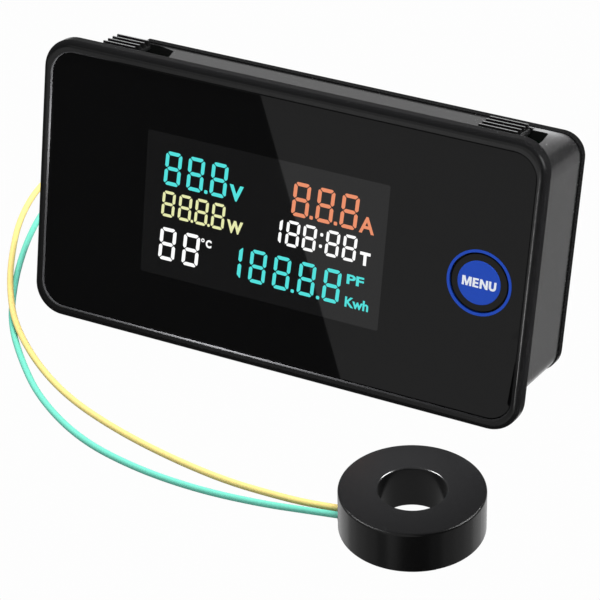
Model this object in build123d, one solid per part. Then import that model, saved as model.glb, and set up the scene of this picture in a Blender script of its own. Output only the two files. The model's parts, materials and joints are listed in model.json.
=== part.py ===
from build123d import *
import os
from math import cos, sin, tan, radians, atan, degrees, pi

# Panel-mount mains meter with an external ring current transformer.
# The meter body is modelled in its own upright frame (X right, Y back, Z up,
# origin in the middle of the bezel's front plane) and then leaned back onto
# the table.  The ring and its two leads lie on the table, z = 0.
# All sizes in millimetres.

# ---------------------------------------------------------------- bezel
W = 90.2                 # bezel width
H = 49.3                 # bezel height
BEZEL_T = 3.0            # bezel thickness, front plane to rear seat
BEZEL_R = 5.3            # bezel corner radius
RIM_ROUND = 1.1          # rounding of the rim's outer front edge
SEAT_EDGE = 0.3          # rounding of the flange's rear edge
PANEL_W, PANEL_H, PANEL_R = 86.9, 45.3, 4.1
PANEL_X = 0.2            # middle of the panel
PANEL_Y0, PANEL_Y1 = 0.4, 1.6
TAPE_Y1 = 1.75           # back of the adhesive frame
LEDGE_W, LEDGE_H = 84.0, 35.0

# ---------------------------------------------------------------- body
BODY_W, BODY_H, BODY_R = 88.0, 41.27, 3.8
BODY_Z = 0.085           # middle of the body above the bezel's middle
BODY_WALL = 1.6
BODY_Y1 = 19.2
COVER_W, COVER_H, COVER_R = 88.4, 41.67, 4.0
COVER_Y1 = 21.0
COVER_EDGE = 0.3
LIP_Y0 = 18.2

# ---------------------------------------------------------------- display
WIN_X, WIN_Z = -2.3, -0.25       # middle of the display window
WIN_W, WIN_H = 43.8, 24.3
LCD_W, LCD_H = 48.0, 28.6
LCD_Y0, LCD_Y1 = 2.0, 4.2
FRAME_Y0, FRAME_Y1 = 2.6, 8.4
DISP_PCB_Y0, DISP_PCB_Y1 = 8.4, 10.0
DISP_PCB_W, DISP_PCB_H = 82.0, 36.0

# ---------------------------------------------------------------- button
BTN_X, BTN_Z = 36.0, -0.1
RING_R1, RING_R0 = 5.55, 5.07    # blue ring let into the panel
CAP_R = 4.93                     # key cap
DISC_R = 3.7                    # blue disc in the cap
BTN_TRAVEL = 0.5

# ---------------------------------------------------------------- boards
MAIN_Y0, MAIN_Y1 = 16.2, 17.8
MAIN_W, MAIN_H = 83.6, 35.6

# ---------------------------------------------------------------- spring clips
RIB_Y0, RIB_PITCH = 4.6, 1.57
RIB_RISE = 0.9                   # height of the rib tips above the body's face
TONGUE_DEEP, TONGUE_RISE = 1.2, 0.1
LEFT_WINDOW = [(-28.7, 13.4), (-29.9, 17.6), (-33.0, 18.65)]      # far side of the window, x and y
RIGHT_WINDOW = [(39.2, 13.4), (38.6, 17.8)]
CLIPS = {                        # name: (x0, x1, ribs' end short of x1, far side of the window, side)
    "snap_clip_top_left": (-41.0, -34.6, 0.15, LEFT_WINDOW, 1),
    "snap_clip_top_right": (28.3, 35.5, 0.35, RIGHT_WINDOW, 1),
    "snap_clip_bottom_left": (-41.0, -34.6, 0.15, LEFT_WINDOW, -1),
    "snap_clip_bottom_right": (28.3, 35.5, 0.35, RIGHT_WINDOW, -1),
}
# the body's top left rear corner is relieved behind the clip, for a blade that pushes the tongue down
RELIEF_X, RELIEF_Y, RELIEF_Z = -36.3, 18.0, 19.7

# ---------------------------------------------------------------- mains terminal block
POLES = {"l": 13.49, "n": 21.11}  # middle of each pole
TB_X0, TB_X1 = 9.4, 25.2
TB_Z0, TB_Z1 = -10.0, 2.0
TB_Y1 = 29.6
POLE_Z = -4.0
WIRE_BORE_R = 1.3
WIRE_Y = 22.5
CAGE_TRAVEL = 1.8

# ---------------------------------------------------------------- ring lead socket and plug
SOCK_X, SOCK_Z = -33.0, -7.0
PLUG_Y1 = 27.0
PIN_PITCH = 2.5
LEAD_D = 1.1

# ---------------------------------------------------------------- ring current transformer
CT_X, CT_Y = 39.3, -32.1          # before the shift to the part's origin
CT_R, CT_BORE_R, CT_H = 11.42, 5.3, 7.2
CT_EXIT_DEG, CT_EXIT_OFF = 186.0, 2.75      # direction of the leads' exit, and how far it passes the ring's middle
CT_EXIT_Z = 2.0
BUSH_R = 10.55                    # outer face of the bush where the leads go in
LEAD_SPREAD = 0.85                # half the leads' distance at the ring

# ---------------------------------------------------------------- stance
# the flange's rear bottom edge and the rear cover's bottom edge carry the meter
LEAN = atan((H / 2 - COVER_H / 2 + BODY_Z) / ((COVER_Y1 - COVER_EDGE) - (BEZEL_T - SEAT_EDGE)))
SL, CL = sin(LEAN), cos(LEAN)
FLOOR = -(BEZEL_T - SEAT_EDGE) * SL - (H / 2 - SEAT_EDGE) * CL - SEAT_EDGE
ORIGIN_X, ORIGIN_Y = 2.8, -7.227  # middle of the footprint, seen before the shift
STANCE = Location((-ORIGIN_X, -ORIGIN_Y, -FLOOR)) * Rotation(-degrees(LEAN), 0, 0)


# ---------------------------------------------------------------- helpers
def box(x0, x1, y0, y1, z0, z1):
    return Pos((x0 + x1) / 2, (y0 + y1) / 2, (z0 + z1) / 2) * Box(x1 - x0, y1 - y0, z1 - z0)


def prism(w, h, r, y0, y1, cx=0.0, cz=0.0):
    # rounded rectangle in X-Z, from depth y0 to depth y1
    return Rotation(90, 0, 0) * (Pos(cx, cz, -y1) * extrude(RectangleRounded(w, h, r), y1 - y0))


def rod_y(r, y0, y1, cx, cz):
    return Rotation(90, 0, 0) * (Pos(cx, cz, -(y0 + y1) / 2) * Cylinder(r, y1 - y0))


def rod_z(r, z0, z1, cx, cy):
    return Pos(cx, cy, (z0 + z1) / 2) * Cylinder(r, z1 - z0)


def rod_x(r, x0, x1, cy, cz):
    return Pos((x0 + x1) / 2, cy, cz) * Rotation(0, 90, 0) * Cylinder(r, x1 - x0)


def group(*solids):
    out = []
    for s in solids:
        out += list(s.solids())
    return Compound(out)


parts = {}

# ================================================================ front
bezel = prism(W, H, BEZEL_R, 0, BEZEL_T)
bezel = fillet(bezel.faces().sort_by(Axis.Y)[0].edges(), RIM_ROUND)
bezel = fillet(bezel.faces().sort_by(Axis.Y)[-1].edges(), SEAT_EDGE)
bezel -= prism(PANEL_W + 0.2, PANEL_H + 0.2, PANEL_R + 0.1, -1, TAPE_Y1, PANEL_X)
bezel -= prism(LEDGE_W, LEDGE_H, 3.2, 0, BEZEL_T + 1)
rim_inner = [e for e in bezel.edges() if abs(e.center().Y) < 1e-4
             and abs(e.center().X) < 43.8 and abs(e.center().Z) < 22.8]
bezel = fillet(rim_inner, 0.18)
# four tabs that hold the bezel inside the body, and four posts for the display board
for x0 in (-20.0, 5.0):
    for s in (1, -1):
        z = sorted((BODY_Z + s * 17.75, BODY_Z + s * 18.95))
        bezel += box(x0, x0 + 10, 2.2, 8.0, z[0], z[1])
for x0 in (-32.0, 22.0):
    for s in (1, -1):
        z = sorted((s * 15.5, s * 18.5))
        bezel += box(x0, x0 + 4.4, 2.0, DISP_PCB_Y0, z[0], z[1])
        bezel -= rod_y(0.8, 4.0, DISP_PCB_Y0 + 0.5, x0 + 2.2, s * 16.8)
parts["front_bezel"] = bezel

panel = prism(PANEL_W, PANEL_H, PANEL_R, PANEL_Y0, PANEL_Y1, PANEL_X)
panel = fillet(panel.faces().sort_by(Axis.Y)[0].edges(), 0.12)
panel -= rod_y(RING_R1 + 0.02, PANEL_Y0 - 1, PANEL_Y0 + 0.6, BTN_X, BTN_Z)
panel -= rod_y(RING_R0 + 0.02, PANEL_Y0 - 1, PANEL_Y1 + 1, BTN_X, BTN_Z)
parts["front_panel"] = panel

tape = (prism(PANEL_W - 0.2, PANEL_H - 0.2, PANEL_R - 0.1, PANEL_Y1, TAPE_Y1, PANEL_X)
        - prism(84.6, 36.0, 3.4, PANEL_Y1 - 1, TAPE_Y1 + 1))
parts["panel_adhesive"] = tape

parts["button_ring"] = (rod_y(RING_R1, PANEL_Y0 - 0.06, PANEL_Y0 + 0.6, BTN_X, BTN_Z)
                        - rod_y(RING_R0 + 0.02, PANEL_Y0 - 1, PANEL_Y0 + 1, BTN_X, BTN_Z))

# key cap with its retaining flange and stem; the blue disc is a second shot
cap = rod_y(CAP_R, PANEL_Y0, 2.2, BTN_X, BTN_Z)
cap = fillet(cap.faces().sort_by(Axis.Y)[0].edges(), 0.25)
cap += rod_y(5.65, 1.7, 2.4, BTN_X, BTN_Z)
cap += rod_y(2.0, 2.4, 3.8, BTN_X, BTN_Z)
cap -= rod_y(DISC_R, -1, PANEL_Y0 + 0.5, BTN_X, BTN_Z)
parts["menu_button"] = cap
disc = rod_y(DISC_R, PANEL_Y0 - 0.08, PANEL_Y0 + 0.5, BTN_X, BTN_Z)
disc = fillet(disc.faces().sort_by(Axis.Y)[0].edges(), 0.1)
parts["button_disc"] = disc

# ================================================================ display
parts["lcd_glass"] = (box(WIN_X - LCD_W / 2, WIN_X + LCD_W / 2, LCD_Y0, 3.1, WIN_Z - LCD_H / 2 + 2.0, WIN_Z + LCD_H / 2)
                      + box(WIN_X - LCD_W / 2, WIN_X + LCD_W / 2, 3.1, LCD_Y1, WIN_Z - LCD_H / 2, WIN_Z + LCD_H / 2))
parts["backlight_guide"] = box(WIN_X - 22.4, WIN_X + 22.4, 4.3, 7.6, WIN_Z - 13.6, WIN_Z + 13.6)
holder = prism(51.0, 30.4, 1.0, FRAME_Y0, FRAME_Y1, WIN_X, WIN_Z)
holder -= box(WIN_X - 24.1, WIN_X + 24.1, FRAME_Y0 - 1, 4.25, WIN_Z - 14.4, WIN_Z + 14.4)
holder -= box(WIN_X - 23.9, WIN_X + 23.9, 4.0, FRAME_Y1 + 1, WIN_Z - 13.8, WIN_Z + 13.8)
parts["display_holder"] = holder
parts["backlight_leds"] = group(*[box(WIN_X + sx * 23.15 - 0.6, WIN_X + sx * 23.15 + 0.6, 6.9, DISP_PCB_Y0, z - 1.4, z + 1.4)
                                  for sx in (-1, 1) for z in (WIN_Z - 8, WIN_Z, WIN_Z + 8)])
lcd_pins = [box(WIN_X - 20 + i * 2.5 - 0.2, WIN_X - 20 + i * 2.5 + 0.2, 3.15, 8.3, WIN_Z - 14.75, WIN_Z - 14.45)
            for i in range(17)]
holder_slot = box(WIN_X - 20.6, WIN_X + 20.6, 3.0, FRAME_Y1 + 1, WIN_Z - 15.0, WIN_Z - 14.2)
parts["display_holder"] = parts["display_holder"] - holder_slot
parts["lcd_pins"] = group(*lcd_pins)

HEADER = [(-8.0 + i * 2.54, s) for i in range(6) for s in (-15.4,)]
disp_pcb = prism(DISP_PCB_W, DISP_PCB_H, 3.5, DISP_PCB_Y0, DISP_PCB_Y1)
for x0 in (-32.0, 22.0):
    for s in (1, -1):
        disp_pcb -= rod_y(1.05, DISP_PCB_Y0 - 1, DISP_PCB_Y1 + 1, x0 + 2.2, s * 16.8)
for hx, hz in HEADER:
    disp_pcb -= rod_y(0.5, DISP_PCB_Y0 - 1, DISP_PCB_Y1 + 1, hx, hz + 31.6)
parts["display_board"] = disp_pcb

switch = box(BTN_X - 3.1, BTN_X + 3.1, 5.0, DISP_PCB_Y0, BTN_Z - 3.1, BTN_Z + 3.1)
switch = fillet(switch.faces().sort_by(Axis.Y)[0].edges(), 0.3)
switch -= rod_y(1.85, 4, 6.9, BTN_X, BTN_Z)
parts["tact_switch"] = switch
parts["switch_plunger"] = rod_y(1.7, 3.8, 6.2, BTN_X, BTN_Z)

# ================================================================ body shell
shell = prism(BODY_W, BODY_H, BODY_R, BEZEL_T, BODY_Y1, 0, BODY_Z)
shell -= prism(BODY_W - 2 * BODY_WALL, BODY_H - 2 * BODY_WALL, BODY_R - BODY_WALL, BEZEL_T - 1, BODY_Y1 + 1, 0, BODY_Z)
for sx in (-1, 1):                # corner blocks for the cover screws
    for sz in (-1, 1):
        x = sorted((sx * 36.8, sx * 42.9))
        z = sorted((sz * 12.4, sz * 17.0))
        blk = box(x[0], x[1], 10.4, LIP_Y0, z[0], z[1])
        blk = blk & prism(BODY_W - 1.0, BODY_H - 1.0, BODY_R - 0.5, 0, 30, 0, BODY_Z)
        shell += blk
        shell -= rod_y(0.95, 11.5, 30, sx * 39.4, sz * 14.8)


def clip_rib_rows(side):
    n = 9 if side > 0 else 7
    return [RIB_Y0 + i * RIB_PITCH for i in range(n)]


for name, (x0, x1, short, far, side) in CLIPS.items():
    rows = clip_rib_rows(side)
    y_end = 18.3 if side > 0 else rows[-1] + 1.2
    face = BODY_H / 2 + side * BODY_Z          # distance of the body's face from the bezel's middle
    z_top, z_rib = face + TONGUE_RISE, face + RIB_RISE
    # slot round the tongue and the window at its free end
    z = sorted((side * 18.0, side * 24.0))
    shell -= box(x0 - 0.15, x1 + 0.3, 3.6, y_end + 0.35, z[0], z[1])
    top = min(y_end + 0.35, far[-1][1])
    outline = [(x1 - 0.5, 3.6), (far[0][0], 3.6)] + [(x, min(y, top)) for x, y in far] + [(x1 - 0.5, top)]
    window = Pos(0, 0, z[0]) * extrude(make_face(Polyline(*outline, close=True)), 6.0)
    window = fillet([e for e in window.edges().filter_by(Axis.Z) if e.center().Y > 13.0 and e.center().X > x1 + 0.4], 0.5)
    shell -= window
    t = sorted((side * (face - TONGUE_DEEP), side * z_top))
    tongue = box(x0, x1, 3.9, y_end, t[0], t[1])
    tongue = fillet([e for e in tongue.edges().filter_by(Axis.Z)], 0.3)
    # half-round root, middle at x0 + 0.65, where the tongue flexes
    root = [e for e in tongue.edges().filter_by(Axis.Y) if abs(e.center().X - x0) < 1e-3]
    tongue = fillet(root, 0.649)
    for y in rows:
        # saw tooth: steep in front, sloped behind
        pts = [(y, side * (z_top - 0.2)), (y + 0.12, side * z_rib), (y + 0.44, side * z_rib),
               (y + 1.0, side * z_top), (y + 1.0, side * (z_top - 0.2))]
        tooth = make_face(Polyline(*[(p[0], p[1]) for p in pts], close=True))
        # sketch x -> Y, sketch y -> Z, extrude -> X
        pl = Plane(origin=(x0 + 0.15, 0, 0), x_dir=(0, 1, 0), z_dir=(1, 0, 0))
        tongue += extrude(pl * tooth, x1 - x0 - 0.15 - short)
    parts[name] = tongue
relief = box(-50, RELIEF_X, RELIEF_Y, 30, RELIEF_Z, 30)
shell -= relief
parts["body_shell"] = shell

# ================================================================ rear cover
cover = prism(COVER_W, COVER_H, COVER_R, BODY_Y1, COVER_Y1, 0, BODY_Z)
cover = fillet(cover.faces().sort_by(Axis.Y)[-1].edges(), COVER_EDGE)
lip = prism(84.6, 37.85, 2.0, LIP_Y0, BODY_Y1, 0, BODY_Z) - prism(82.6, 35.85, 1.0, 0, 30, 0, BODY_Z)
for sx in (-1, 1):
    for sz in (-1, 1):
        x = sorted((sx * 36.2, sx * 43))
        z = sorted((sz * 11.8, sz * 19.8))
        lip -= box(x[0], x[1], 10, BODY_Y1, z[0], z[1])
for x0, x1, short, far, side in CLIPS.values():
    z = sorted((side * 17.0, side * 19.8))
    lip -= box(x0 - 1.5, far[0][0] + 0.4, 10, BODY_Y1, z[0], z[1])
cover += lip
cover -= relief
cover -= box(TB_X0 - 0.25, TB_X1 + 0.25, 10, 40, TB_Z0 - 0.25, TB_Z1 + 0.25)
cover -= box(SOCK_X - 4.0, SOCK_X + 4.0, 10, 40, SOCK_Z - 3.2, SOCK_Z + 3.2)
for sx in (-1, 1):
    for sz in (-1, 1):
        cover -= rod_y(1.25, 10, 40, sx * 39.4, sz * 14.8)
        cover -= rod_y(2.4, COVER_Y1 - 0.8, 40, sx * 39.4, sz * 14.8)
# posts for the main board
POSTS = [(sx * 30.0, sz) for sx in (-1, 1) for sz in (12.0, -14.5)]
for px, pz in POSTS:
    cover += rod_y(2.2, MAIN_Y1, BODY_Y1 + 0.2, px, pz)
    cover -= rod_y(0.8, MAIN_Y1 - 1, COVER_Y1 - 0.4, px, pz)
# two rows of vent slots
for zz in (9.0, 12.6):
    for i in range(6):
        cx = -24.0 + i * 6.4
        if abs(cx) < 45:
            cover -= prism(4.2, 1.3, 0.6, 10, 40, cx, zz)
parts["rear_cover"] = cover


def pan_screw(cx, cz, y_tip, y_seat, head_t, r, rh, to_back=True):
    # shank from tip to seat, pan head with a cross recess
    s = 1 if to_back else -1
    a, b = sorted((y_tip, y_seat))
    body = rod_y(r, a, b, cx, cz)
    a, b = sorted((y_seat, y_seat + s * head_t))
    head = rod_y(rh, a, b, cx, cz)
    out = sorted(head.faces(), key=lambda f: s * f.center().Y)[-1]
    head = fillet(out.edges(), min(0.35, head_t * 0.45))
    top = y_seat + s * head_t
    a, b = sorted((top - s * 0.45, top + s * 1.0))
    head -= box(cx - rh * 0.6, cx + rh * 0.6, a, b, cz - 0.16, cz + 0.16)
    head -= box(cx - 0.16, cx + 0.16, a, b, cz - rh * 0.6, cz + rh * 0.6)
    return body + head


parts["cover_screws"] = group(*[pan_screw(sx * 39.4, sz * 14.8, 13.5, COVER_Y1 - 0.8, 0.75, 0.95, 2.1)
                                for sx in (-1, 1) for sz in (-1, 1)])

# ================================================================ main board
main = prism(MAIN_W, MAIN_H, 1.0, MAIN_Y0, MAIN_Y1)
for sx in (-1, 1):
    for sz in (-1, 1):
        x = sorted((sx * 36.4, sx * 45))
        z = sorted((sz * 12.0, sz * 20))
        main -= box(x[0], x[1], 0, 40, z[0], z[1])
for px, pz in POSTS:
    main -= rod_y(1.05, 0, 40, px, pz)
for hx, hz in HEADER:
    main -= rod_y(0.5, 0, 40, hx, hz + 31.6)
for px in POLES.values():
    main -= box(px - 0.7, px + 0.7, 0, 40, -1.5, 0.1)
for s in (-1, 1):
    main -= rod_y(0.55, 0, 40, SOCK_X + s * PIN_PITCH / 2, SOCK_Z)
parts["main_board"] = main

parts["board_screws"] = group(
    *[pan_screw(px, pz, COVER_Y1 - 2.4, MAIN_Y0, 1.2, 0.8, 1.8, to_back=False) for px, pz in POSTS],
    *[pan_screw(x0 + 2.2, s * 16.8, 5.0, DISP_PCB_Y1, 1.2, 0.8, 1.25) for x0 in (-32.0, 22.0) for s in (1, -1)])

strip = box(-8.0 - 1.27, -8.0 + 5 * 2.54 + 1.27, DISP_PCB_Y1 + 0.1, MAIN_Y0, 16.2 - 1.25, 16.2 + 1.25)
for hx, hz in HEADER:
    strip -= rod_y(0.5, 0, 40, hx, 16.2)
parts["board_connector"] = strip
parts["connector_pins"] = group(*[box(hx - 0.3, hx + 0.3, DISP_PCB_Y0 - 0.9, MAIN_Y1 + 0.9, 16.2 - 0.3, 16.2 + 0.3) for hx, hz in HEADER])

cap_box = box(12.0, 25.0, 11.0, MAIN_Y0, 3.0, 14.0)
parts["film_capacitor"] = fillet(cap_box.edges().filter_by(Axis.Y), 0.6)
can = rod_z(2.9, -9.0, 3.0, -14.0, 13.25)
can -= (rod_z(3.4, 1.2, 1.7, -14.0, 13.25) - rod_z(2.6, 1.2, 1.7, -14.0, 13.25))
parts["electrolytic_capacitor"] = can
var = rod_x(2.9, 27.5, 30.6, 13.2, -4.0)
parts["surge_suppressor"] = fillet(var.edges(), 0.9)
fuse = rod_x(1.5, 12.0, 21.0, 14.55, -13.0)
parts["fuse"] = fuse + rod_x(1.62, 12.0, 13.8, 14.55, -13.0) + rod_x(1.62, 19.2, 21.0, 14.55, -13.0)


def soic(cx, cz, w, h, n, pitch, t=1.5):
    b = box(cx - w / 2, cx + w / 2, MAIN_Y0 - t - 0.1, MAIN_Y0 - 0.1, cz - h / 2, cz + h / 2)
    b = chamfer(b.faces().sort_by(Axis.Y)[0].edges(), 0.15)
    for i in range(n):
        x = cx - (n - 1) * pitch / 2 + i * pitch
        for s in (-1, 1):
            z = sorted((s * (h / 2 - 0.1), s * (h / 2 + 0.9)))
            b += box(x - 0.2, x + 0.2, MAIN_Y0 - 0.7, MAIN_Y0, cz + z[0], cz + z[1])
    return b


parts["measuring_chips"] = group(soic(-1.5, 3.5, 10.0, 3.9, 8, 1.27), soic(-1.5, -6.5, 10.2, 7.0, 8, 1.2))
parts["burden_resistors"] = group(*[box(-27 + i * 4.2, -24.6 + i * 4.2, MAIN_Y0 - 0.6, MAIN_Y0, z - 0.7, z + 0.7)
                                    for i in range(2) for z in (-2.0, 1.0, 4.0)])

# ================================================================ mains terminal block
tb = box(TB_X0, TB_X1, MAIN_Y1, TB_Y1, TB_Z0, TB_Z1)
tb = chamfer(tb.edges().filter_by(Axis.X).sort_by(Axis.Y)[-2:], 0.5)
contacts = []
for key, px in POLES.items():
    tb -= box(px - 2.5, px + 2.5, 20.3, 27.4, POLE_Z - 2.5, POLE_Z + 2.5)      # cage chamber
    tb -= rod_y(1.4, 27.0, 28.4, px, POLE_Z)                                  # shank hole
    tb -= rod_y(2.1, 28.0, 29.1, px, POLE_Z)                                  # head well
    tb -= rod_y(1.7, 29.0, 30.5, px, POLE_Z)                                  # driver opening
    tb -= rod_z(WIRE_BORE_R, TB_Z0 - 1, POLE_Z - 2.0, px, WIRE_Y)             # wire entry
    tb -= box(px - 0.7, px + 0.7, 16, 24.5, -1.6, 0.0)                        # slot for the contact leg
    tb -= box(px - 1.4, px + 1.4, 23.5, 24.5, -1.7, -1.0)
    # cage: a ring round the wire, open up and down
    cage = box(px - 2.3, px + 2.3, 20.6, 25.5, POLE_Z - 2.2, POLE_Z + 2.2)
    cage = fillet(cage.edges().filter_by(Axis.Z), 0.5)
    cage -= box(px - 1.7, px + 1.7, 21.3, 24.5, POLE_Z - 3, POLE_Z + 3)
    cage -= rod_y(1.31, 24, 27, px, POLE_Z)
    parts["clamp_cage_" + key] = cage
    # captive clamp screw
    scr = rod_y(1.25, 24.42, 28.1, px, POLE_Z)
    hd = rod_y(1.95, 28.08, 28.98, px, POLE_Z)
    hd = fillet(hd.faces().sort_by(Axis.Y)[-1].edges(), 0.2)
    hd -= box(px - 2.0, px + 2.0, 28.5, 30, POLE_Z - 0.25, POLE_Z + 0.25)
    parts["clamp_screw_" + key] = scr + hd
    contacts.append(box(px - 1.3, px + 1.3, 23.7, 24.3, POLE_Z - 2.2, -1.2)
                    + box(px - 0.5, px + 0.5, 16.0, 24.3, -1.3, -0.7))
parts["terminal_housing"] = tb
parts["terminal_contacts"] = group(*contacts)

# ================================================================ ring lead socket and plug
sock = box(SOCK_X - 3.75, SOCK_X + 3.75, MAIN_Y1, 24.6, SOCK_Z - 2.9, SOCK_Z + 2.9)
sock -= box(SOCK_X - 3.05, SOCK_X + 3.05, 19.4, 30, SOCK_Z - 2.2, SOCK_Z + 2.2)
sock -= box(SOCK_X - 1.6, SOCK_X + 1.6, 21.0, 30, SOCK_Z + 1.5, SOCK_Z + 4)
for s in (-1, 1):
    sock -= rod_y(0.5, 10, 30, SOCK_X + s * PIN_PITCH / 2, SOCK_Z)
parts["ring_socket"] = sock
parts["socket_pins"] = group(*[box(SOCK_X + s * PIN_PITCH / 2 - 0.3, SOCK_X + s * PIN_PITCH / 2 + 0.3, 15.6, 22.6,
                                   SOCK_Z - 0.3, SOCK_Z + 0.3) for s in (-1, 1)])
plug = box(SOCK_X - 2.95, SOCK_X + 2.95, 19.5, PLUG_Y1, SOCK_Z - 2.1, SOCK_Z + 2.1)
plug = fillet(plug.edges().filter_by(Axis.Y), 0.25)
plug += box(SOCK_X - 0.9, SOCK_X + 0.9, 21.3, 25.6, SOCK_Z + 2.0, SOCK_Z + 2.7)       # locking rib
for s in (-1, 1):
    plug -= box(SOCK_X + s * PIN_PITCH / 2 - 0.75, SOCK_X + s * PIN_PITCH / 2 + 0.75, 19.0, 26.2, SOCK_Z - 0.75, SOCK_Z + 0.75)
    plug -= box(SOCK_X + s * PIN_PITCH / 2 - 0.45, SOCK_X + s * PIN_PITCH / 2 + 0.45, 22.0, 25.0, SOCK_Z - 3, SOCK_Z)
parts["ring_plug"] = plug
parts["plug_contacts"] = group(*[
    box(SOCK_X + s * PIN_PITCH / 2 - 0.65, SOCK_X + s * PIN_PITCH / 2 + 0.65, 20.0, 25.8, SOCK_Z - 0.65, SOCK_Z + 0.65)
    - box(SOCK_X + s * PIN_PITCH / 2 - 0.4, SOCK_X + s * PIN_PITCH / 2 + 0.4, 19.0, 23.6, SOCK_Z - 0.4, SOCK_Z + 0.4)
    for s in (-1, 1)])
PLUG_NODES = ("ring_plug", "plug_contacts")

# lean the whole meter back onto the table
for k in list(parts):
    parts[k] = STANCE * parts[k]

# ================================================================ ring current transformer
CX, CY = CT_X - ORIGIN_X, CT_Y - ORIGIN_Y


def disc_z(r, z0, z1):
    return rod_z(r, z0, z1, CX, CY)


ct = disc_z(CT_R, 0, CT_H)
ct = fillet(ct.faces().sort_by(Axis.Z)[-1].edges(), 0.45)
ct = fillet(ct.faces().sort_by(Axis.Z)[0].edges(), 0.25)
ct -= disc_z(CT_BORE_R, -1, CT_H + 1)
ct = fillet([e for e in ct.edges().filter_by(GeomType.CIRCLE)
             if abs(e.center().Z - CT_H) < 1e-4 and abs(e.radius - CT_BORE_R) < 1e-3], 0.4)
cavity = disc_z(CT_R - 0.8, -1, CT_H - 0.8) - disc_z(CT_BORE_R + 0.8, -2, CT_H + 2)
ct -= cavity
EX = Vector(cos(radians(CT_EXIT_DEG)), sin(radians(CT_EXIT_DEG)), 0)
EXIT_FRAME = Location((CX, CY, 0)) * Rotation(0, 0, CT_EXIT_DEG) * Location((0, CT_EXIT_OFF, 0))


def bush_block(x0, x1, w, h):
    # stadium section, long side across the exit direction
    pl = Plane(origin=(x0, 0, CT_EXIT_Z), x_dir=(0, 1, 0), z_dir=(1, 0, 0))
    return EXIT_FRAME * extrude(pl * SlotOverall(w, h), x1 - x0)


ct -= bush_block(9.0, 13.0, 3.9, 2.2)
parts["ct_case"] = ct
parts["ct_lid"] = disc_z(CT_R - 0.85, 0, 0.9) - disc_z(CT_BORE_R + 0.85, -1, 2)
parts["ct_core"] = fillet((disc_z(9.6, 1.9, 5.5) - disc_z(7.3, 0, 9)).edges(), 0.2)
winding = disc_z(10.2, 1.3, 6.1) - disc_z(6.7, 0, 9)
winding = fillet(winding.edges(), 0.7)
winding -= disc_z(9.65, 1.85, 5.55) - disc_z(7.25, 0, 9)
winding -= bush_block(9.6, 12.0, 4.2, 3.0)
parts["ct_winding"] = winding
bush = bush_block(9.75, BUSH_R, 3.7, 2.0)
bush = fillet(sorted(bush.faces(), key=lambda f: (f.center() - Vector(CX, CY, 0)).dot(EX))[-1].edges(), 0.1)
parts["ct_lead_bush"] = bush

# ================================================================ leads
LEAD_YELLOW = [(-34.55, 32.13, 12.11), (-34.55, 37.45, 10.95), (-35.40, 43.77, 7.00), (-38.30, 50.77, 1.90),
               (-45.30, 56.77, 0.57), (-54.30, 58.67, 0.57), (-62.80, 54.77, 0.57), (-68.13, 47.56, 0.57),
               (-68.65, 37.88, 0.57), (-65.64, 26.30, 0.57), (-60.33, 15.06, 0.57), (-54.01, 4.40, 2.00),
               (-47.19, -5.04, 2.00), (-38.47, -12.21, 0.57), (-28.30, -18.64, 0.57), (-16.59, -23.05, 0.57),
               (-5.26, -25.88, 0.57), (5.33, -27.52, 0.57), (14.25, -27.91, 0.85), (21.03, -28.41, 1.60),
               (25.61, -27.93, 2.00)]
LEAD_GREEN = [(-37.05, 32.13, 12.11), (-37.05, 36.48, 11.17), (-38.10, 40.97, 6.90), (-41.40, 45.97, 1.90),
              (-47.40, 48.47, 0.57), (-54.40, 47.57, 0.57), (-61.10, 41.83, 0.57), (-63.76, 32.89, 0.57),
              (-61.30, 23.00, 0.57), (-57.62, 13.19, 0.57), (-53.50, 4.50, 0.57), (-48.82, -3.73, 0.57),
              (-41.77, -12.02, 0.57), (-32.96, -20.57, 0.57), (-21.19, -27.64, 0.57), (-9.18, -30.67, 0.57),
              (2.46, -31.44, 0.57), (13.33, -30.77, 0.85), (21.21, -30.10, 1.60), (25.79, -29.62, 2.00)]


def exact_ends(pts, sx, side):
    # the first point lies on the plug's rear face, the last on the bush's outer face
    p = STANCE * Location((SOCK_X + sx * PIN_PITCH / 2, PLUG_Y1, SOCK_Z))
    q = EXIT_FRAME * Location((BUSH_R, side * LEAD_SPREAD, CT_EXIT_Z))
    return [tuple(p.position)] + pts[1:-1] + [tuple(q.position)]


def lead(name, pts, sx, side):
    pts = exact_ends(pts, sx, side)
    v = [Vector(*p) for p in pts]
    rad = []
    for i in range(1, len(v) - 1):
        a, b = v[i] - v[i - 1], v[i + 1] - v[i]
        t = radians(a.get_angle(b))
        rad.append(0.45 * min(a.length, b.length) / tan(t / 2))
    path = FilletPolyline(*pts, radius=rad)
    start = Plane(origin=v[0], z_dir=v[1] - v[0])
    tube = sweep(start * Circle(LEAD_D / 2), path=path)
    L = path.length
    print("%s: length %.1f mm, volume %.2f against %.2f, radii %s" % (
        name, L, tube.volume, pi * LEAD_D ** 2 / 4 * L, [round(r, 1) for r in rad]))
    print("   ends", [round(c, 3) for c in pts[0]], [round(c, 3) for c in pts[-1]])
    return tube


parts["lead_yellow"] = lead("lead_yellow", LEAD_YELLOW, 1, -1)
parts["lead_green"] = lead("lead_green", LEAD_GREEN, -1, 1)

# ================================================================ write the parts
os.makedirs("parts", exist_ok=True)
lo, hi = [1e9] * 3, [-1e9] * 3
for name, shape in parts.items():
    export_step(shape, "parts/%s.step" % name)
    if name.startswith("lead_") or name in PLUG_NODES:
        continue
    b = shape.bounding_box()
    for i, (a, c) in enumerate(zip(b.min, b.max)):
        lo[i], hi[i] = min(lo[i], a), max(hi[i], c)
print("parts", len(parts), "lean %.4f floor %.4f" % (degrees(LEAN), FLOOR))
print("box without leads", [round(c, 3) for c in lo], [round(c, 3) for c in hi],
      "middle", [round((a + c) / 2, 3) for a, c in zip(lo, hi)])
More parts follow.
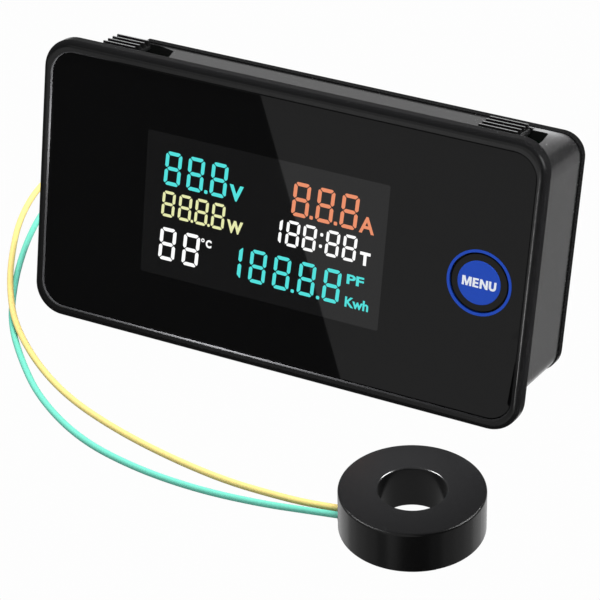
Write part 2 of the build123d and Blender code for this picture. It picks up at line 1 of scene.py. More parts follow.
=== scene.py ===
import bpy
import bmesh
import json
from math import sin, cos, atan, pi, radians, sqrt
from mathutils import Vector, Matrix


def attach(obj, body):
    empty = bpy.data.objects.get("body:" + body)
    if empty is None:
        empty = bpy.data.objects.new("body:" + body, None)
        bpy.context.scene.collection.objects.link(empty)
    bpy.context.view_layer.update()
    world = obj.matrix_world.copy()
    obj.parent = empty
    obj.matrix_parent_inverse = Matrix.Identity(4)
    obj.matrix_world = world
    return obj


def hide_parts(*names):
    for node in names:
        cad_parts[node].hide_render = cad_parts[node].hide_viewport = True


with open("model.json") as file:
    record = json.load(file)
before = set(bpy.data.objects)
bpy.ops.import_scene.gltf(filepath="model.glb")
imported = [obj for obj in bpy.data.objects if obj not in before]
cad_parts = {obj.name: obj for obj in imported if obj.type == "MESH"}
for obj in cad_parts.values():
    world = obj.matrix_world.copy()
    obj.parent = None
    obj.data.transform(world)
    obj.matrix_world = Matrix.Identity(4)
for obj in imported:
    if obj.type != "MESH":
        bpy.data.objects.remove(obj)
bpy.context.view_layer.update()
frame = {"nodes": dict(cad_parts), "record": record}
NODES = frame["nodes"]
scene = bpy.context.scene

# ------------------------------------------------------------------ meter's own frame
# x right, y back from the bezel's front plane, z up, millimetres; leaned back on the table
LEAN = atan(((49.0 - 41.2) / 2) / (20.7 - 2.7))
SL, CL = sin(LEAN), cos(LEAN)
FLOOR_Z = -2.7 * SL - 24.35 * CL - 0.3
OX, OY = 2.8, -7.227


def at(x, y, z):
    """A point of the meter's frame, in the part's frame, in metres."""
    return Vector(((x - OX) / 1000, (y * CL + z * SL - OY) / 1000, (-y * SL + z * CL - FLOOR_Z) / 1000))


# ------------------------------------------------------------------ camera
cam_data = bpy.data.cameras.new("camera")
cam = bpy.data.objects.new("camera", cam_data)
scene.collection.objects.link(cam)
cam_data.sensor_fit = "HORIZONTAL"
cam_data.sensor_width = 36.0
cam_data.lens = 162.0
cam_data.clip_start, cam_data.clip_end = 0.01, 20.0
right = Vector((0.89401464, 0.44754922, -0.02091691))
up = Vector((-0.22910442, 0.49677686, 0.83709254))
back = Vector((0.38503115, -0.74358083, 0.54666129))
m = Matrix((right, up, back)).transposed().to_4x4()
m.translation = Vector((0.172904, -0.323899, 0.256230))
cam.matrix_world = m
scene.camera = cam


# ------------------------------------------------------------------ materials
def material(name, base, rough, metallic=0.0, grain=None, bump=0.0, tone=0.0, rough_var=0.0,
             coat=0.0, coat_rough=0.05, ior=1.5, sheen=0.0, transmission=0.0, specular=0.5,
             emission=None, strength=0.0, stretch=(1, 1, 1), detail=3.0, spots=None):
    """Moulded, sprayed, plated or printed surface: a fine grain drives colour, roughness and bump.
    grain is the number of grains per metre."""
    mat = bpy.data.materials.new(name)
    mat.use_nodes = True
    nt = mat.node_tree
    p = nt.nodes["Principled BSDF"]
    p.inputs["Roughness"].default_value = rough
    p.inputs["Metallic"].default_value = metallic
    p.inputs["IOR"].default_value = ior
    p.inputs["Coat Weight"].default_value = coat
    p.inputs["Coat Roughness"].default_value = coat_rough
    p.inputs["Sheen Weight"].default_value = sheen
    p.inputs["Transmission Weight"].default_value = transmission
    p.inputs["Specular IOR Level"].default_value = specular
    p.inputs["Base Color"].default_value = (*base, 1)
    if emission is not None:
        p.inputs["Emission Color"].default_value = (*emission, 1)
        p.inputs["Emission Strength"].default_value = strength
    coord = nt.nodes.new("ShaderNodeTexCoord")
    mapping = nt.nodes.new("ShaderNodeMapping")
    mapping.inputs["Scale"].default_value = stretch
    nt.links.new(coord.outputs["Object"], mapping.inputs["Vector"])
    if grain:
        noise = nt.nodes.new("ShaderNodeTexNoise")
        noise.inputs["Scale"].default_value = grain
        noise.inputs["Detail"].default_value = detail
        noise.inputs["Roughness"].default_value = 0.6
        nt.links.new(mapping.outputs["Vector"], noise.inputs["Vector"])
        if tone:
            ramp = nt.nodes.new("ShaderNodeValToRGB")
            ramp.color_ramp.elements[0].position = 0.3
            ramp.color_ramp.elements[1].position = 0.7
            ramp.color_ramp.elements[0].color = (*[c * (1 - tone) for c in base], 1)
            ramp.color_ramp.elements[1].color = (*[min(1, c * (1 + tone)) for c in base], 1)
            nt.links.new(noise.outputs["Fac"], ramp.inputs["Fac"])
            nt.links.new(ramp.outputs["Color"], p.inputs["Base Color"])
        if rough_var:
            rng = nt.nodes.new("ShaderNodeMapRange")
            rng.inputs["From Min"].default_value = 0.3
            rng.inputs["From Max"].default_value = 0.7
            rng.inputs["To Min"].default_value = max(0.0, rough - rough_var)
            rng.inputs["To Max"].default_value = min(1.0, rough + rough_var)
            nt.links.new(noise.outputs["Fac"], rng.inputs["Value"])
            nt.links.new(rng.outputs["Result"], p.inputs["Roughness"])
        if bump:
            b = nt.nodes.new("ShaderNodeBump")
            b.inputs["Strength"].default_value = 1.0
            b.inputs["Distance"].default_value = bump
            nt.links.new(noise.outputs["Fac"], b.inputs["Height"])
            nt.links.new(b.outputs["Normal"], p.inputs["Normal"])
    return mat


def srgb(r, g, b):
    out = []
    for c in (r, g, b):
        c = c / 255
        out.append(c / 12.92 if c <= 0.04045 else ((c + 0.055) / 1.055) ** 2.4)
    return tuple(out)


MATS = {
    "bezel_gloss": material("bezel_gloss", (0.0065, 0.0065, 0.0068), 0.22, grain=2600, bump=0.0000008, rough_var=0.03, tone=0.10),
    "panel_gloss": material("panel_gloss", (0.0026, 0.0026, 0.0028), 0.015, grain=260, tone=0.06, rough_var=0.004),
    "adhesive": material("adhesive", (0.02, 0.02, 0.02), 0.8, grain=4000, bump=0.00002, tone=0.2),
    "button_blue": material("button_blue", (0.0125, 0.066, 0.475), 0.42, grain=2600, tone=0.03, rough_var=0.04, specular=0.25),
    "lcd_glass": material("lcd_glass", (0.03, 0.035, 0.04), 0.05, grain=500, tone=0.1, rough_var=0.01),
    "light_guide": material("light_guide", (0.8, 0.84, 0.86), 0.12, grain=1500, tone=0.03, transmission=0.35, rough_var=0.03),
    "white_plastic": material("white_plastic", (0.78, 0.76, 0.70), 0.42, grain=3000, tone=0.03, bump=0.000008, rough_var=0.05),
    "tinned_metal": material("tinned_metal", (0.70, 0.70, 0.68), 0.28, metallic=1.0, grain=2500, tone=0.08, rough_var=0.08),
    "circuit_board": material("circuit_board", (0.02, 0.10, 0.045), 0.38, grain=420, tone=0.35, bump=0.00002, rough_var=0.06, detail=1.0),
    "component_black": material("component_black", (0.022, 0.022, 0.023), 0.55, grain=5000, tone=0.15, bump=0.00001),
    "body_matt": material("body_matt", (0.012, 0.012, 0.0122), 0.22, grain=4200, tone=0.10, bump=0.000005, rough_var=0.04, specular=0.5),
    # painted shade: the rear cover's base is half the body's, so that its rim reads as a dark outline along the rear
    # edge
    "cover_black": material("cover_black", (0.006, 0.006, 0.0062), 0.26, grain=3200, tone=0.10, bump=0.000003, rough_var=0.04, specular=0.4),
    "clip_black": material("clip_black", (0.010, 0.010, 0.0102), 0.22, grain=3600, tone=0.10, bump=0.000003, rough_var=0.03),
    "screw_steel": material("screw_steel", (0.55, 0.55, 0.56), 0.30, metallic=1.0, grain=3500, tone=0.10, rough_var=0.10, stretch=(1, 6, 1)),
    "film_capacitor": material("film_capacitor", (0.72, 0.56, 0.09), 0.30, grain=1800, tone=0.05, rough_var=0.05),
    "capacitor_sleeve": material("capacitor_sleeve", (0.03, 0.05, 0.15), 0.30, grain=2200, tone=0.08, rough_var=0.06),
    "terminal_green": material("terminal_green", (0.022, 0.022, 0.023), 0.48, grain=4500, tone=0.12, bump=0.00001, rough_var=0.06),
    "brass": material("brass", (0.72, 0.55, 0.25), 0.30, metallic=1.0, grain=3500, tone=0.10, rough_var=0.10, stretch=(6, 1, 1)),
    "ring_black": material("ring_black", (0.0025, 0.0025, 0.0026), 0.20, grain=3800, tone=0.10, bump=0.000004, rough_var=0.04),
    "core_iron": material("core_iron", (0.20, 0.20, 0.21), 0.45, metallic=0.9, grain=5000, tone=0.2, rough_var=0.1, stretch=(1, 1, 12)),
    "copper_wire": material("copper_wire", (0.55, 0.22, 0.08), 0.30, metallic=0.9, grain=2600, tone=0.2, rough_var=0.08),
    "lead_yellow": material("lead_yellow", srgb(228, 205, 128), 0.38, grain=2600, tone=0.04, bump=0.000004, rough_var=0.06),
    "lead_green": material("lead_green", srgb(108, 200, 178), 0.38, grain=2600, tone=0.05, bump=0.000004, rough_var=0.06),
}

slot_of = {s["node"]: s["material_slot"] for s in frame["record"]["subparts"]}
for name, obj in NODES.items():
    mat = MATS[slot_of[name]]
    if not obj.material_slots:
        obj.data.materials.append(mat)
    for s in obj.material_slots:
        s.material = mat

# ------------------------------------------------------------------ leads
LEAD_D = 0.0011
LEAD_YELLOW = [
    (-0.034550, 0.032132, 0.012111), (-0.03455, 0.03745, 0.01095), (-0.03540, 0.04377, 0.00700),
    (-0.03830, 0.05077, 0.00190), (-0.04530, 0.05677, 0.00057), (-0.05430, 0.05867, 0.00057),
    (-0.06280, 0.05477, 0.00057), (-0.06813, 0.04756, 0.00057), (-0.06865, 0.03788, 0.00057),
    (-0.06564, 0.02630, 0.00057), (-0.06033, 0.01506, 0.00057), (-0.05401, 0.00440, 0.00200),
    (-0.04719, -0.00504, 0.00200), (-0.03847, -0.01221, 0.00057), (-0.02830, -0.01864, 0.00057),
    (-0.01659, -0.02305, 0.00057), (-0.00526, -0.02588, 0.00057), (0.00533, -0.02752, 0.00057),
    (0.01425, -0.02791, 0.00085), (0.02103, -0.02841, 0.00160), (0.026206, -0.027865, 0.002000)]
LEAD_GREEN = [
    (-0.037050, 0.032132, 0.012111), (-0.03705, 0.03648, 0.01117), (-0.03810, 0.04097, 0.00690),
    (-0.04140, 0.04597, 0.00190), (-0.04740, 0.04847, 0.00057), (-0.05440, 0.04757, 0.00057),
    (-0.06110, 0.04183, 0.00057), (-0.06376, 0.03289, 0.00057), (-0.06130, 0.02300, 0.00057),
    (-0.05762, 0.01319, 0.00057), (-0.05350, 0.00450, 0.00057), (-0.04882, -0.00373, 0.00057),
    (-0.04177, -0.01202, 0.00057), (-0.03296, -0.02057, 0.00057), (-0.02119, -0.02764, 0.00057),
    (-0.00918, -0.03067, 0.00057), (0.00246, -0.03144, 0.00057), (0.01333, -0.03077, 0.00085),
    (0.02121, -0.03010, 0.00160), (0.026384, -0.029556, 0.002000)]


def lead(name, points, node):
    curve = bpy.data.curves.new(name, "CURVE")
    curve.dimensions = "3D"
    spline = curve.splines.new("NURBS")
    spline.points.add(len(points) - 1)
    for q, p in zip(spline.points, points):
        q.co = (*p, 1.0)
    spline.order_u = 3
    spline.use_endpoint_u = True
    spline.resolution_u = 10
    curve.bevel_depth = LEAD_D / 2
    curve.bevel_resolution = 5
    curve.use_fill_caps = True
    obj = bpy.data.objects.new(name, curve)
    scene.collection.objects.link(obj)
    curve.materials.append(MATS[node])
    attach(obj, "meter")
    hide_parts(node)
    return obj


yellow = lead("yellow_lead", LEAD_YELLOW, "lead_yellow")
green = lead("green_lead", LEAD_GREEN, "lead_green")


# ------------------------------------------------------------------ thin printed and lit pieces
def add_mesh(name, bm, mat, body):
    bmesh.ops.recalc_face_normals(bm, faces=bm.faces)
    mesh = bpy.data.meshes.new(name)
    bm.to_mesh(mesh)
    bm.free()
    obj = bpy.data.objects.new(name, mesh)
    scene.collection.objects.link(obj)
    mesh.materials.append(mat)
    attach(obj, body)
    return obj


def plate(bm, outline, y0, y1):
    """Closed plate with an outline in x-z, from depth y0 (front) to y1, in the meter's frame."""
    front = [bm.verts.new(at(x, y0, z)) for x, z in outline]
    rear = [bm.verts.new(at(x, y1, z)) for x, z in outline]
    bm.faces.new(front)
    bm.faces.new(rear[::-1])
    n = len(outline)
    for i in range(n):
        bm.faces.new((front[i], rear[i], rear[(i + 1) % n], front[(i + 1) % n]))


def clip(poly, a, b, c):
    """Keeps the part of a convex polygon where a*x + b*z >= c."""
    out = []
    n = len(poly)
    for i in range(n):
        p, q = poly[i], poly[(i + 1) % n]
        dp, dq = a * p[0] + b * p[1] - c, a * q[0] + b * q[1] - c
        if dp >= 0:
            out.append(p)
        if (dp >= 0) != (dq >= 0):
            t = dp / (dp - dq)
            out.append((p[0] + (q[0] - p[0]) * t, p[1] + (q[1] - p[1]) * t))
    return out


def rect(x0, x1, z0, z1):
    return [(x0, z0), (x1, z0), (x1, z1), (x0, z1)]


def seven_segments(w, h, t, gap, cut):
    """The seven bars of a digit w by h with bars t thick, as convex outlines with their origin at the lower left."""
    g = gap / 2 * sqrt(2)
    c = h / 2
    bars = {}
    top = rect(0, w, h - t, h)
    top = clip(top, 1, 1, h + g)                 # mitre on the left
    top = clip(top, -1, 1, h - w + g)            # mitre on the right
    top = clip(top, -1, -1, -(h + w - cut))      # outer corner, right
    top = clip(top, 1, -1, cut - h)              # outer corner, left
    bars["a"] = top
    left = rect(0, t, c, h)
    left = clip(left, -1, -1, -(h - g))          # mitre at the top
    left = clip(left, 1, -1, cut - h)            # outer corner
    left = clip(left, 1, 1, c + t / 2 + g)       # pointed lower end
    left = clip(left, -1, 1, c - t / 2 + g)
    bars["f"] = left
    mid = rect(t / 2, w - t / 2, c - t / 2, c + t / 2)
    for a, b, k in ((1, 1, c + t / 2 + g), (1, -1, t / 2 - c + g), (-1, 1, c - w + t / 2 + g), (-1, -1, -(w - t / 2 + c) + g)):
        mid = clip(mid, a, b, k)
    bars["g"] = mid
    bars["b"] = [(w - x, z) for x, z in left][::-1]
    bars["d"] = [(x, h - z) for x, z in top][::-1]
    bars["e"] = [(x, h - z) for x, z in left][::-1]
    bars["c"] = [(w - x, h - z) for x, z in left]
    return bars


SLANT = 0.045
Y_GLASS = 0.4                    # front plane of the panel


def soften(poly, r):
    """Takes r off each corner of a convex outline."""
    out = []
    n = len(poly)
    for i in range(n):
        p, prv, nxt = poly[i], poly[i - 1], poly[(i + 1) % n]
        for q in (prv, nxt):
            d = sqrt((q[0] - p[0]) ** 2 + (q[1] - p[1]) ** 2)
            k = min(r, d * 0.4) / d if d > 1e-9 else 0
            out.append((p[0] + (q[0] - p[0]) * k, p[1] + (q[1] - p[1]) * k))
    return out


def digit(bm, x, z, w, h, t, which="abcdefg", gap=0.16, cut=0.56, y=0.024):
    for k, poly in seven_segments(w, h, t, gap, cut).items():
        if k in which:
            poly = soften(poly, 0.07)
            plate(bm, [(x + px + SLANT * (pz - h / 2), z + pz) for px, pz in poly], Y_GLASS - y, Y_GLASS + 0.05)


def dot(bm, x0, x1, z0, z1, z_mid, y=0.024):
    poly = soften(rect(x0, x1, z0, z1), 0.12)
    plate(bm, [(px, pz) for px, pz in poly], Y_GLASS - y, Y_GLASS + 0.05)


def letters(text, x0, x1, z0, z1, y0, y1, weight=0.03, slant=0.0):
    """Text scaled to a box in x-z, as a closed mesh from depth y0 (front) to y1."""
    cu = bpy.data.curves.new("text", "FONT")
    cu.body = text
    cu.size = 1.0
    cu.offset = weight
    cu.extrude = 0.5
    cu.resolution_u = 6
    ob = bpy.data.objects.new("text", cu)
    scene.collection.objects.link(ob)
    bpy.context.view_layer.update()
    dg = bpy.context.evaluated_depsgraph_get()
    mesh = bpy.data.meshes.new_from_object(ob.evaluated_get(dg))
    bpy.data.objects.remove(ob)
    co = [v.co.copy() for v in mesh.vertices]
    lo = Vector([min(c[i] for c in co) for i in range(3)])
    hi = Vector([max(c[i] for c in co) for i in range(3)])
    for v, c in zip(mesh.vertices, co):
        u, w = (c.x - lo.x) / (hi.x - lo.x), (c.y - lo.y) / (hi.y - lo.y)
        x = x0 + (x1 - x0) * u + slant * (w - 0.5) * (z1 - z0)
        z = z0 + (z1 - z0) * w
        y = y0 if c.z > 0 else y1
        v.co = at(x, y, z)
    bm = bmesh.new()
    bm.from_mesh(mesh)
    bpy.data.meshes.remove(mesh)
    bmesh.ops.remove_doubles(bm, verts=bm.verts, dist=1e-8)
    return bm


def merge(bm, other):
    mesh = bpy.data.meshes.new("tmp")
    other.to_mesh(mesh)
    other.free()
    bm.from_mesh(mesh)
    bpy.data.meshes.remove(mesh)


def lit(name, colour, glow=0.88):
    base = srgb(*colour)
    return material(name, tuple(c * 0.25 for c in base), 0.35, grain=1800, tone=0.05, rough_var=0.05,
                    emission=base, strength=glow)


CYAN = lit("lit_cyan", (78, 222, 218))
ORANGE = lit("lit_orange", (232, 142, 104))
YELLOW = lit("lit_pale_yellow", (234, 236, 176), 0.82)
WHITE = lit("lit_white", (252, 252, 252), 0.90)

# display window: a slightly lighter smoked rectangle, flush with the panel
bm = bmesh.new()
outline = []
wx0, wx1, wz0, wz1, wr = -24.70, 19.40, -12.60, 12.50, 0.35
for cx, cz, a0 in ((wx1 - wr, wz1 - wr, 0), (wx0 + wr, wz1 - wr, 90), (wx0 + wr, wz0 + wr, 180), (wx1 - wr, wz0 + wr, 270)):
    for i in range(5):
        a = radians(a0 + i * 22.5)
        outline.append((cx + wr * cos(a), cz + wr * sin(a)))
plate(bm, outline, Y_GLASS - 0.010, Y_GLASS + 0.06)
window_mat = material("display_window", (0.0085, 0.0085, 0.0089), 0.015, grain=260, tone=0.05, rough_var=0.004, ior=1.70)
window = add_mesh("display_window", bm, window_mat, "meter")

# volts, row 1 left
H1, W1, T1 = 5.90, 3.04, 0.64
bm = bmesh.new()
for x in (-21.26, -17.00, -12.65):
    digit(bm, x + 0.07, 3.62, W1, H1, T1)
dot(bm, -13.64, -13.04, 3.68, 4.30, 6.6)
merge(bm, letters("V", -9.05, -6.45, 3.62, 6.40, Y_GLASS - 0.024, Y_GLASS + 0.05, weight=0.042))
add_mesh("volt_digits", bm, CYAN, "meter")

# amperes, row 1 right
bm = bmesh.new()
for x in (2.41, 6.76, 11.10):
    digit(bm, x + 0.07, 3.60, W1, H1, T1)
dot(bm, 5.72, 6.32, 3.66, 4.28, 6.6)
dot(bm, 10.09, 10.69, 3.66, 4.28, 6.6)
merge(bm, letters("A", 14.58, 17.28, 3.52, 6.36, Y_GLASS - 0.024, Y_GLASS + 0.05, weight=0.022))
add_mesh("ampere_digits", bm, ORANGE, "meter")

# watts, row 2 left
H2, W2, T2 = 4.54, 2.42, 0.50
bm = bmesh.new()
for x in (-21.40, -18.28, -15.18, -12.06):
    digit(bm, x + 0.07, -1.97, W2, H2, T2, gap=0.13, cut=0.46)
dot(bm, -15.80, -15.34, -1.94, -1.44, 0.3)
dot(bm, -12.67, -12.21, -1.94, -1.44, 0.3)
merge(bm, letters("W", -9.08, -6.12, -2.03, 0.22, Y_GLASS - 0.024, Y_GLASS + 0.05, weight=0.045))
add_mesh("watt_digits", bm, YELLOW, "meter")

# time, row 2 right
bm = bmesh.new()
H3 = 4.50
digit(bm, -1.44, -1.87, W2, H3, T2 + 0.02, which="bc", gap=0.13, cut=0.3)
for x in (1.68, 4.72, 8.88, 11.96):
    digit(bm, x + 0.07, -1.87, W2, H3, T2, gap=0.13, cut=0.46)
dot(bm, 7.89, 8.41, 1.22, 1.78, 0.4)
dot(bm, 7.82, 8.34, -0.78, -0.22, 0.4)
merge(bm, letters("T", 15.16, 17.02, -1.98, 0.33, Y_GLASS - 0.024, Y_GLASS + 0.05, weight=0.045))
add_mesh("time_digits", bm, WHITE, "meter")

# temperature, row 3 left
H4, W4, T4 = 5.80, 3.04, 0.62
bm = bmesh.new()
for x in (-21.47, -17.02):
    digit(bm, x + 0.07, -9.68, W4, H4, T4)
merge(bm, letters("°", -13.62, -12.98, -4.86, -4.20, Y_GLASS - 0.024, Y_GLASS + 0.05, weight=0.012))
merge(bm, letters("C", -12.72, -11.66, -5.66, -4.24, Y_GLASS - 0.024, Y_GLASS + 0.05, weight=0.05))
add_mesh("temperature_digits", bm, WHITE, "meter")

# energy and power factor, row 3 right
bm = bmesh.new()
digit(bm, -8.92, -9.73, W4, 5.84, T4 + 0.04, which="bc", cut=0.3)
for x in (-4.50, -0.08, 4.50, 9.06):
    digit(bm, x + 0.07, -9.74, W4, 5.84, T4)
dot(bm, 3.40, 3.98, -9.74, -9.16, -6.8)
dot(bm, 8.04, 8.63, -9.74, -9.16, -6.8)
merge(bm, letters("PF", 13.22, 16.28, -5.76, -4.08, Y_GLASS - 0.024, Y_GLASS + 0.05, weight=0.03))
merge(bm, letters("Kwh", 13.22, 17.44, -9.80, -8.00, Y_GLASS - 0.024, Y_GLASS + 0.05, weight=0.028))
add_mesh("energy_digits", bm, CYAN, "meter")

# lettering on the key
print_white = material("print_white", srgb(236, 240, 248), 0.40, grain=3000, tone=0.02, rough_var=0.05)
MX0, MX1, MZ0, MZ1 = 33.12, 38.98, -0.95, 0.62
mh, mu = MZ1 - MZ0, (MX1 - MX0)


def capital_m(w, h, s=0.37, a=0.16, b=0.52):
    return [(0, 0), (s, 0), (s, h * 0.62), (w / 2 - a, 0), (w / 2 + a, 0), (w - s, h * 0.62), (w - s, 0), (w, 0),
            (w, h), (w - b, h), (w / 2, h * 0.34), (b, h), (0, h)]


def capital_e(w, h, s=0.40, t=0.31):
    return [(0, 0), (w, 0), (w, t), (s, t), (s, (h - t) / 2), (w * 0.92, (h - t) / 2), (w * 0.92, (h + t) / 2),
            (s, (h + t) / 2), (s, h - t), (w * 0.97, h - t), (w * 0.97, h), (0, h)]


def capital_n(w, h, s=0.38, c=0.60):
    return [(0, 0), (s, 0), (s, h - c), (w - s, 0), (w, 0), (w, h), (w - s, h), (w - s, c), (s, h), (0, h)]


def capital_u(w, h, s=0.39):
    r0, r1 = w / 2, w / 2 - s
    out = [(0, h)] + [(r0 - r0 * cos(pi * i / 12), r0 - r0 * sin(pi * i / 12)) for i in range(13)] + [(w, h), (w - s, h)]
    return out + [(r0 + r1 * cos(pi * i / 12), r0 - r1 * sin(pi * i / 12)) for i in range(13)] + [(s, h)]


bm = bmesh.new()
for k0, k1, shape in ((0.0, 0.280, capital_m), (0.312, 0.490, capital_e), (0.520, 0.757, capital_n), (0.784, 1.0, capital_u)):
    plate(bm, [(MX0 + mu * k0 + px, MZ0 + pz) for px, pz in shape(mu * (k1 - k0), mh)], 0.32 - 0.015, 0.36)
key_letters = add_mesh("key_lettering", bm, print_white, "menu_key")


# ------------------------------------------------------------------ stage
def quad(name, corners, mat):
    mesh = bpy.data.meshes.new(name)
    mesh.from_pydata([tuple(c) for c in corners], [], [(0, 1, 2, 3)])
    obj = bpy.data.objects.new(name, mesh)
    scene.collection.objects.link(obj)
    mesh.materials.append(mat)
    return obj


# plain white table: what the camera sees is evenly white, what lights the object is much weaker
floor_mat = bpy.data.materials.new("floor_white")
floor_mat.use_nodes = True
nt = floor_mat.node_tree
nt.nodes.clear()
out = nt.nodes.new("ShaderNodeOutputMaterial")
seen = nt.nodes.new("ShaderNodeEmission")
seen.inputs["Color"].default_value = (1, 1, 1, 1)
seen.inputs["Strength"].default_value = 0.985
rest = nt.nodes.new("ShaderNodeBsdfDiffuse")
rest.inputs["Color"].default_value = (0.35, 0.35, 0.35, 1)
path = nt.nodes.new("ShaderNodeLightPath")
either = nt.nodes.new("ShaderNodeMixShader")
nt.links.new(path.outputs["Is Camera Ray"], either.inputs[0])
nt.links.new(rest.outputs[0], either.inputs[1])
nt.links.new(seen.outputs[0], either.inputs[2])
nt.links.new(either.outputs[0], out.inputs["Surface"])
floor = quad("floor", [(-4, -4, 0), (4, -4, 0), (4, 4, 0), (-4, 4, 0)], floor_mat)
floor.visible_glossy = False
floor.visible_shadow = False


def glow(name, value, opaque=False):
    mat = bpy.data.materials.new(name)
    mat.use_nodes = True
    nt = mat.node_tree
    nt.nodes.clear()
    out = nt.nodes.new("ShaderNodeOutputMaterial")
    e = nt.nodes.new("ShaderNodeEmission")
    e.inputs["Strength"].default_value = value
    # a ray goes on through the card, so that one card never hides another
    clear = nt.nodes.new("ShaderNodeBsdfTransparent")
    both = nt.nodes.new("ShaderNodeAddShader")
    nt.links.new(e.outputs[0], both.inputs[0])
    nt.links.new(clear.outputs[0], both.inputs[1])
    nt.links.new((e if opaque else both).outputs[0], out.inputs["Surface"])
    return mat


def only_reflected(obj):
    obj.visible_camera = False
    obj.visible_diffuse = False
    obj.visible_shadow = False
    obj.visible_transmission = False
    obj.visible_volume_scatter = False
    return obj


def lights_only(obj, objects, state="INCLUDE"):
    """Lets a lamp or card light only these objects, or all but these."""
    col = bpy.data.collections.new("for_" + obj.name)
    for o in objects:
        col.objects.link(o)
    for c in col.collection_objects:
        c.light_linking.link_state = state
    obj.light_linking.receiver_collection = col
    return obj


RING = [NODES[k] for k in ("ct_case", "ct_lid", "ct_lead_bush", "ct_core", "ct_winding")]
BODY = [NODES[k] for k in ("body_shell", "rear_cover")]
CLIPS = [NODES[k] for k in NODES if k.startswith("snap_clip")]
BEZEL = [NODES["front_bezel"]]

# ------------------------------------------------------------------ reflections in the flat front
n = (at(0, -1, 0) - at(0, 0, 0)).normalized()
eye = cam.matrix_world.translation


def mirrored(p, normal=None):
    d = (p - eye).normalized()
    k = normal or n
    return d - 2 * d.dot(k) * k


# card whose edge makes the slanting reflection on the flat front
A, B = at(-4.6, Y_GLASS, 22.4), at(13.56, Y_GLASS, -22.3)
D = 0.42
a0, b0 = A + mirrored(A) * D, B + mirrored(B) * D
edge = (b0 - a0)
a1, b1 = a0 - edge * 3, b0 + edge * 3
RR = at(43, Y_GLASS, 0)
side = (RR + mirrored(RR) * D) - (a0 + b0) / 2
side = side - edge * (side.dot(edge) / edge.dot(edge))
side = side.normalized() * 0.5
only_reflected(quad("card_front", [a1, b1, b1 + side, a1 + side], glow("card_glow", 0.33)))


def tilted(right_deg, up_deg):
    """The front's normal, tilted to the right and upwards in the meter's own frame."""
    a, b = radians(right_deg), radians(up_deg)
    v = at(sin(a) * 1000, -cos(a) * cos(b) * 1000, sin(b) * 1000) - at(0, 0, 0)
    return v.normalized()


def card_at(name, point, normal, dist, wide, high, value, receivers=None, turn=0.0, opaque=False):
    """A card facing a point of the object, placed where that point's normal mirrors the camera."""
    d = mirrored(point, normal)
    c = point + d * dist
    u = d.cross(Vector((0, 0, 1))).normalized()
    w = u.cross(d).normalized()
    if turn:
        u, w = u * cos(turn) + w * sin(turn), w * cos(turn) - u * sin(turn)
    u, w = u * wide / 2, w * high / 2
    q = only_reflected(quad(name, [c - u - w, c + u - w, c + u + w, c - u + w], glow(name + "_glow", value, opaque=opaque)))
    if receivers:
        lights_only(q, receivers)
    return q


# thin strips that only the rounded edges of the rim can mirror
card_at("strip_right", at(44.3, 0.3, -7), tilted(14, 0), 0.40, 0.022, 0.075, 25.0, BEZEL)
card_at("rim_corner", at(44.4, 1.6, 21.9), tilted(55, 30), 0.40, 0.22, 0.22, 2.2, BEZEL)
card_at("rim_front", at(0, 0, 23.6), tilted(0, 0), 0.42, 0.70, 0.07, 0.45, BEZEL)

# body, rim and clips: a soft sheen on the top face and on the rim's top, one for the side, a wide low one for the
# side's lower edge, and brighter ones for the clips and the right clip's end
X1 = Vector((1, 0, 0))
UP = (at(0, 0, 1) - at(0, 0, 0)).normalized()
card_at("sheen_top", at(0, 12, 20.72), UP, 0.45, 0.60, 0.16, 0.58, [NODES["body_shell"]])
card_at("sheen_rim", at(0, 1.5, 24.6), UP, 0.45, 0.60, 0.14, 0.07, BEZEL)
card_at("sheen_side", at(44.0, 12, 0), X1, 0.45, 0.34, 0.50, 0.395, [NODES["body_shell"]])
card_at("sheen_low", at(43.5, 12, -20), (X1 * 0.75 - UP * 0.66).normalized(), 0.45, 0.34, 0.50, 0.70, BODY + BEZEL)
card_at("sheen_clips", at(0, 12, 21.62), UP, 0.44, 0.60, 0.12, 2.2, CLIPS)
card_at("clip_end", at(35.5, 12, 21.0), X1, 0.45, 0.30, 0.40, 6.0, [NODES["snap_clip_top_right"]])

# ring: a highlight on each flank
RC = Vector((0.0365, -0.024873, 0))


def around(deg):
    """Horizontal direction, measured from the one towards the camera, positive to the right."""
    a = radians(-62.6 + deg)
    return Vector((cos(a), sin(a), 0))


# what the ring's side mirrors, by the direction of its surface from -85 to 85 degrees
FLANK = (0.48, 0.76, 0.74, 0.36, 0.27, 0.21, 0.09, 0.0, 0.0, 0.0, 0.06, 0.19, 0.25, 0.32, 0.60, 0.72, 0.75, 0.80)
verts, faces = [], []
for i in range(len(FLANK) + 1):
    c = RC + around(2 * (-90 + 10 * i) + 2.9) * 0.21
    verts += [(c.x, c.y, -0.30), (c.x, c.y, -0.02)]
for i in range(len(FLANK)):
    faces.append((2 * i, 2 * i + 2, 2 * i + 3, 2 * i + 1))
mesh = bpy.data.meshes.new("ring_surround")
mesh.from_pydata(verts, [], faces)
for i, v in enumerate(FLANK):
    mesh.materials.append(glow("flank_%d" % i, v))
    mesh.polygons[i].material_index = i
surround = bpy.data.objects.new("ring_surround", mesh)
scene.collection.objects.link(surround)
lights_only(only_reflected(surround), RING)
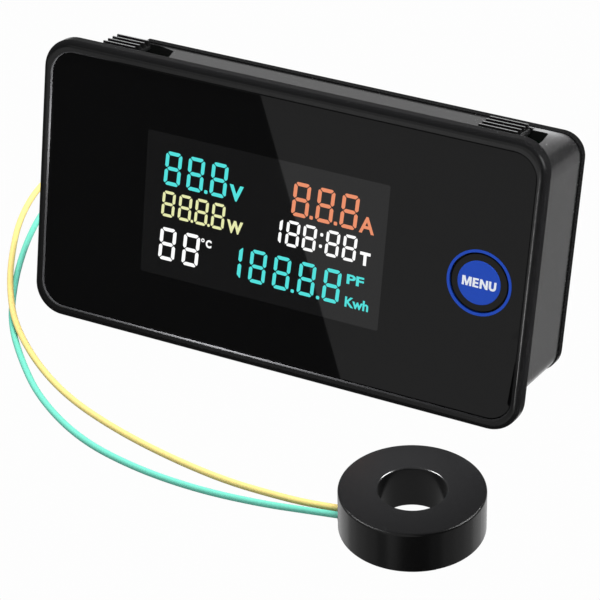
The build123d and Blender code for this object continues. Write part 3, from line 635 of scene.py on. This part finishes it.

# painted shade: a dark cup, seen only in the ring's own reflections, stands in for the shaded table inside the ring's
# hole; and the glints on the edges of the hole
verts = [RC + around(15 * i) * 0.00545 + Vector((0, 0, z)) for z in (-0.0003, 0.0068) for i in range(24)]
faces = [(i, (i + 1) % 24, 24 + (i + 1) % 24, 24 + i) for i in range(24)] + [tuple(range(24))]
mesh = bpy.data.meshes.new("hole_shade")
mesh.from_pydata([tuple(v) for v in verts], [], faces)
mesh.materials.append(glow("hole_wall", 0.03, opaque=True))
mesh.materials.append(glow("hole_floor", 0.30, opaque=True))
mesh.polygons[24].material_index = 1
shade = bpy.data.objects.new("hole_shade", mesh)
scene.collection.objects.link(shade)
lights_only(only_reflected(shade), RING)
card_at("rim_left", RC + around(-136) * 0.0056 + Vector((0, 0, 0.0070)), (around(44) + Vector((0, 0, 1.0))).normalized(), 0.25, 0.15, 0.08, 44.0, RING)
card_at("rim_right", RC + around(136) * 0.0056 + Vector((0, 0, 0.0070)), (around(-44) + Vector((0, 0, 1.0))).normalized(), 0.25, 0.15, 0.08, 44.0, RING)
# stops as bright as card_front, so that the ring's outer edge doesn't mirror the same two cards and the panel shows no gap
card_at("stop_right", RC + around(44) * 0.0112 + Vector((0, 0, 0.0070)), (around(44) + Vector((0, 0, 1.0))).normalized(), 0.006, 0.008, 0.006, 0.33, opaque=True)
card_at("stop_left", RC + around(-44) * 0.0112 + Vector((0, 0, 0.0070)), (around(-44) + Vector((0, 0, 1.0))).normalized(), 0.006, 0.008, 0.006, 0.33, opaque=True)


def area(name, loc, target, size, power, size_y=None, gloss=0.0):
    d = bpy.data.lights.new(name, "AREA")
    d.energy = power
    d.shape = "RECTANGLE"
    d.size = size
    d.size_y = size_y or size
    o = bpy.data.objects.new(name, d)
    scene.collection.objects.link(o)
    o.location = loc
    o.rotation_mode = "QUATERNION"
    o.rotation_quaternion = (Vector(target) - Vector(loc)).to_track_quat("-Z", "Y")
    o.visible_camera = False
    o.visible_glossy = gloss > 0
    return o


lights_only(area("top_light", (0.05, 0.15, 0.75), (0, 0.0, 0.02), 0.55, 9.0, 0.45), RING, "EXCLUDE")
lights_only(area("right_light", (0.75, 0.30, 0.25), (0.03, 0.0, 0.02), 0.40, 6.0, 0.30), RING, "EXCLUDE")
lights_only(area("left_light", (-0.70, 0.10, 0.30), (-0.02, 0.0, 0.02), 0.30, 3.0, 0.30), RING, "EXCLUDE")

lights_only(area("ring_light", RC + around(-160) * 0.0065 + Vector((0, 0, 0.0332)), RC + around(-160) * 0.0065, 0.006, 0.102), RING)
lights_only(area("corner_light", at(37.4, 20.4, 24.2), at(37.4, 20.4, 0), 0.003, 0.010), [NODES["body_shell"]])
lights_only(area("key_light", at(36, -150, 20), at(36, 0, 0), 0.05, 0.070), [NODES["button_disc"], NODES["button_ring"], key_letters])

# thin bright line on the inner edge of the rim, at the left and below
lights_only(area("lip_left", at(-31.0, -0.25, 9.0), at(-43, 0.2, 9.0), 0.0004, 0.10), BEZEL)
lights_only(area("lip_low", at(-9, -0.25, -2), at(-9, 0.2, -23), 0.0004, 0.36), BEZEL)

world = bpy.data.worlds.new("studio")
scene.world = world
world.use_nodes = True
nt = world.node_tree
bg = nt.nodes["Background"]
bg.inputs["Color"].default_value = (1, 1, 1, 1)
lp = nt.nodes.new("ShaderNodeLightPath")
mix = nt.nodes.new("ShaderNodeMix")
mix.data_type = "FLOAT"
mix.inputs[2].default_value = 0.45
mix.inputs[3].default_value = 1.0
nt.links.new(lp.outputs["Is Camera Ray"], mix.inputs[0])
mix2 = nt.nodes.new("ShaderNodeMix")
mix2.data_type = "FLOAT"
mix2.inputs[3].default_value = 0.05
nt.links.new(lp.outputs["Is Glossy Ray"], mix2.inputs[0])
nt.links.new(mix.outputs[0], mix2.inputs[2])
nt.links.new(mix2.outputs[0], bg.inputs["Strength"])

scene.view_settings.view_transform = "Standard"
scene.view_settings.look = "None"

for o in RING + [yellow, green, NODES["button_disc"], NODES["button_ring"]]:
    o.visible_glossy = False
